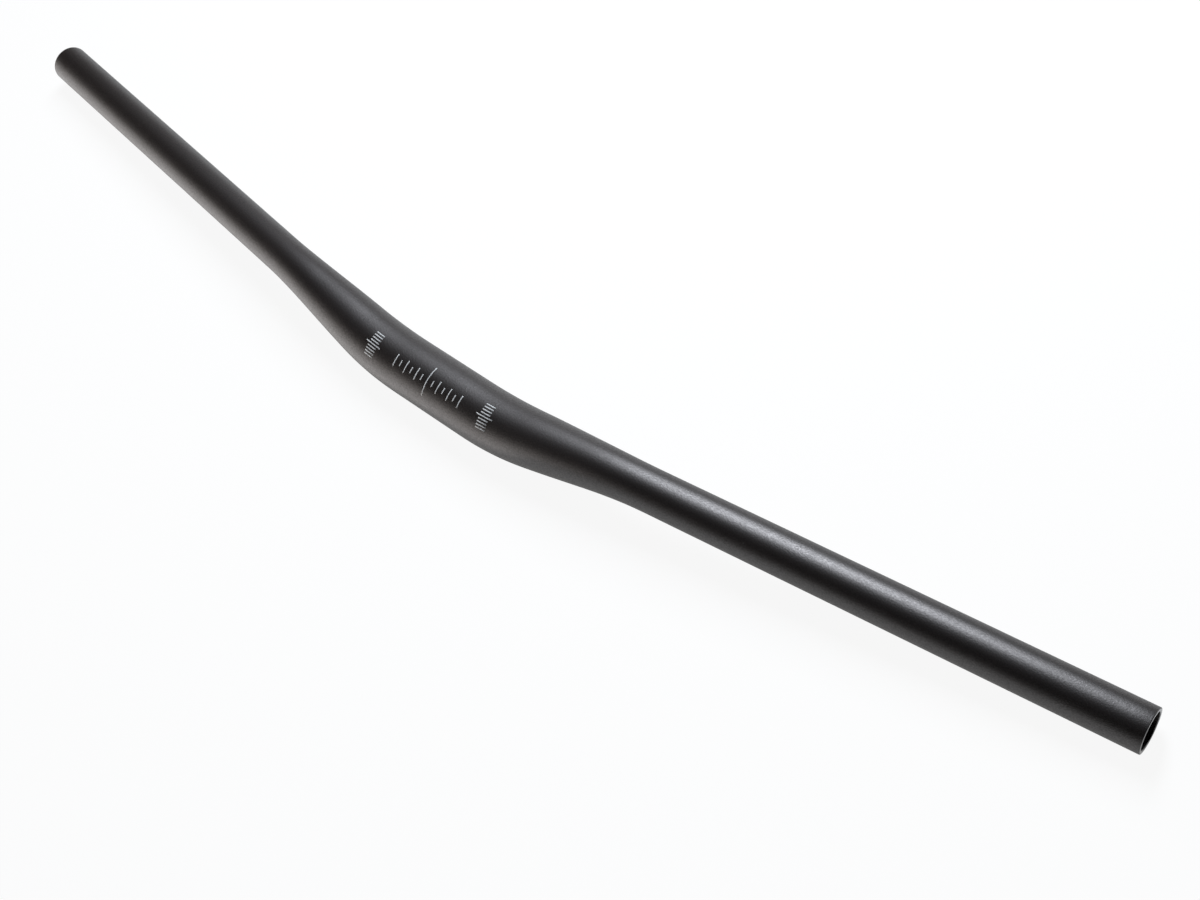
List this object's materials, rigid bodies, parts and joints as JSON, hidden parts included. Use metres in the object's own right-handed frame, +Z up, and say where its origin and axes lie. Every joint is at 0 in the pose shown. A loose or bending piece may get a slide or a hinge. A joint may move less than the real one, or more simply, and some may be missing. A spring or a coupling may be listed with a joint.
{
  "type": "flat handlebar",
  "caption": "Wide low-rise bicycle handlebar: one butted tube with a thick middle for the stem clamp, a double bend on each side and straight swept-back grip ends with open mouths.",
  "frame": {"origin": "centre of the clamp zone, on its axis", "axes": "+X along the clamp axis to the right-hand grip, +Z up with the bar lying at rest on both ends and on the belly of the clamp zone, +Y towards the side that the swept-back ends lie on. On a bicycle, with this bar at 7 degrees of backsweep and 4 of upsweep, the bar is turned 49.6 degrees about +X from here, so that +Y points back to the rider."},
  "size_m": [0.783, 0.0721, 0.0348],
  "materials": {
    "anodised_tube": "bead-blasted, black anodised, with bare cut faces at both ends"
  },
  "bodies": {
    "root": {"handlebar": "anodised_tube"}
  },
  "joints": []
}
